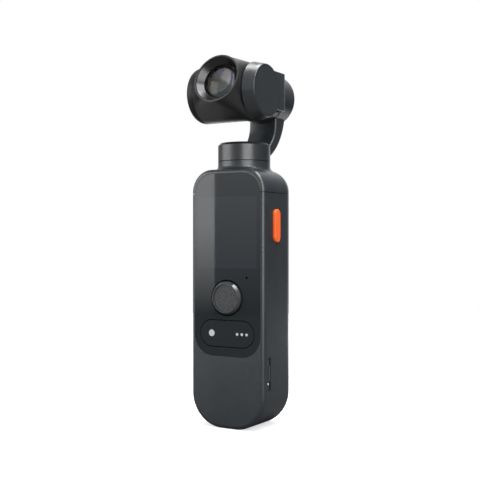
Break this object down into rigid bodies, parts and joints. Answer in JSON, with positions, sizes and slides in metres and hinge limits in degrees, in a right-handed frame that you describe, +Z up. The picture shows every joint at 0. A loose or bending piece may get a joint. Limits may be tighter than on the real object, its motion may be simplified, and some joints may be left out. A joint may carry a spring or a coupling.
{
  "type": "pocket vlogging camera",
  "caption": "Pocket camera on a stick grip: three-axis motor gimbal head, front glass panel with joystick and rocker key, orange side button, card slot and tripod thread.",
  "frame": {"origin": "mouth of the tripod thread in the middle of the foot, on the pan axis", "axes": "+Z up along the pan axis, +X to the right of someone facing the screen, +Y to the back; the screen and the lens face -Y"},
  "size_m": [0.0312, 0.0429, 0.1321],
  "materials": {
    "grip_casing": "fine matte moulded plastic, blue-grey black",
    "gimbal_casting": "satin dark slate paint",
    "head_casing": "satin warm black paint",
    "panel_glass": "glossy smoked glass",
    "display": "dark display, switched off",
    "stick_metal": "knurled top with a bright bevelled rim",
    "key_plastic": "gloss black plastic",
    "key_marks": "white inlay",
    "orange_button": "satin orange plastic",
    "card_plastic": "black plastic",
    "light_pipe": "milky light pipe",
    "port_steel": "formed sheet steel",
    "insert_steel": "turned and tapped steel",
    "lens_glass": "coated optical glass",
    "trim_metal": "satin black bevel",
    "black_plastic": "black moulded plastic",
    "circuit_board": "circuit board with solder mask",
    "chassis_metal": "die-cast alloy",
    "battery_wrap": "foil-wrapped cell",
    "steel": "machined steel",
    "coil_copper": "wound laminated core",
    "magnet": "nickel-plated magnet"
  },
  "bodies": {
    "grip": {"grip_shell": "grip_casing", "shoulder_cap": "grip_casing", "front_glass": "panel_glass", "display_panel": "display", "chassis": "chassis_metal", "battery": "battery_wrap", "main_board": "circuit_board", "processor_shield": "port_steel", "board_screws": "steel", "stick_base": "black_plastic", "key_bracket": "black_plastic", "key_switches": "black_plastic", "microphone": "port_steel", "record_switch": "black_plastic", "card_socket": "port_steel", "status_light": "light_pipe", "tripod_insert": "insert_steel", "charging_port": "port_steel", "pan_motor_base": "chassis_metal", "pan_bearings": "steel", "pan_coil_core": "coil_copper", "pan_motor_screws": "steel"},
    "stick_ring": {"stick_ring": "black_plastic"},
    "stick_cap": {"stick_cap": "stick_metal"},
    "function_key": {"function_key": "key_plastic", "key_dots": "key_marks"},
    "record_button": {"record_button": "orange_button"},
    "memory_card": {"memory_card": "card_plastic"},
    "yaw_arm": {"yaw_arm": "gimbal_casting", "pan_magnet_ring": "magnet", "pan_shaft": "steel", "roll_motor_base": "chassis_metal", "roll_bearings": "steel", "roll_coil_core": "coil_copper", "roll_motor_screws": "steel", "roll_motor_cap": "gimbal_casting"},
    "roll_bracket": {"roll_bracket": "gimbal_casting", "roll_magnet_ring": "magnet", "roll_shaft": "steel", "tilt_motor_base": "chassis_metal", "tilt_bearings": "steel", "tilt_coil_core": "coil_copper", "tilt_motor_screws": "steel", "tilt_motor_cap": "gimbal_casting"},
    "camera_head": {"head_shell": "head_casing", "head_cap": "head_casing", "motion_board": "circuit_board", "tilt_rotor": "gimbal_casting", "tilt_magnet_ring": "magnet", "tilt_shaft": "steel", "lens_trim_ring": "trim_metal", "front_lens": "lens_glass", "lens_retainer": "black_plastic", "lens_holder": "black_plastic", "inner_lenses": "lens_glass", "image_sensor": "circuit_board", "sensor_board": "circuit_board"}
  },
  "joints": [
    {"name": "pan", "type": "hinge", "parent": "grip", "child": "yaw_arm", "pos_m": [0, 0, 0.0958], "axis": [0, 0, 1], "range_deg": [-160, 160]},
    {"name": "roll", "type": "hinge", "parent": "yaw_arm", "child": "roll_bracket", "pos_m": [0, 0.0136, 0.1208], "axis": [0, 1, 0], "range_deg": [-45, 45]},
    {"name": "tilt", "type": "hinge", "parent": "roll_bracket", "child": "camera_head", "pos_m": [0, -0.007, 0.11985], "axis": [1, 0, 0], "range_deg": [-80, 105]},
    {"name": "stick_vertical", "type": "hinge", "parent": "grip", "child": "stick_ring", "pos_m": [0, -0.0083, 0.0466], "axis": [1, 0, 0], "range_deg": [-6, 6], "stiffness_Nm_per_rad": 0.005},
    {"name": "stick_horizontal", "type": "hinge", "parent": "stick_ring", "child": "stick_cap", "pos_m": [0, -0.0083, 0.0466], "axis": [0, 0, 1], "range_deg": [-6, 6], "stiffness_Nm_per_rad": 0.005},
    {"name": "key_rock", "type": "hinge", "parent": "grip", "child": "function_key", "pos_m": [0, -0.0097, 0.0339], "axis": [0, 0, 1], "range_deg": [-2, 2], "stiffness_Nm_per_rad": 0.02},
    {"name": "record_press", "type": "slide", "parent": "grip", "child": "record_button", "axis": [-1, 0, 0], "range_m": [0, 0.0005], "stiffness_N_per_m": 800},
    {"name": "card_slide", "type": "slide", "parent": "grip", "child": "memory_card", "axis": [1, 0, 0], "range_m": [0, 0.0135]}
  ]
}
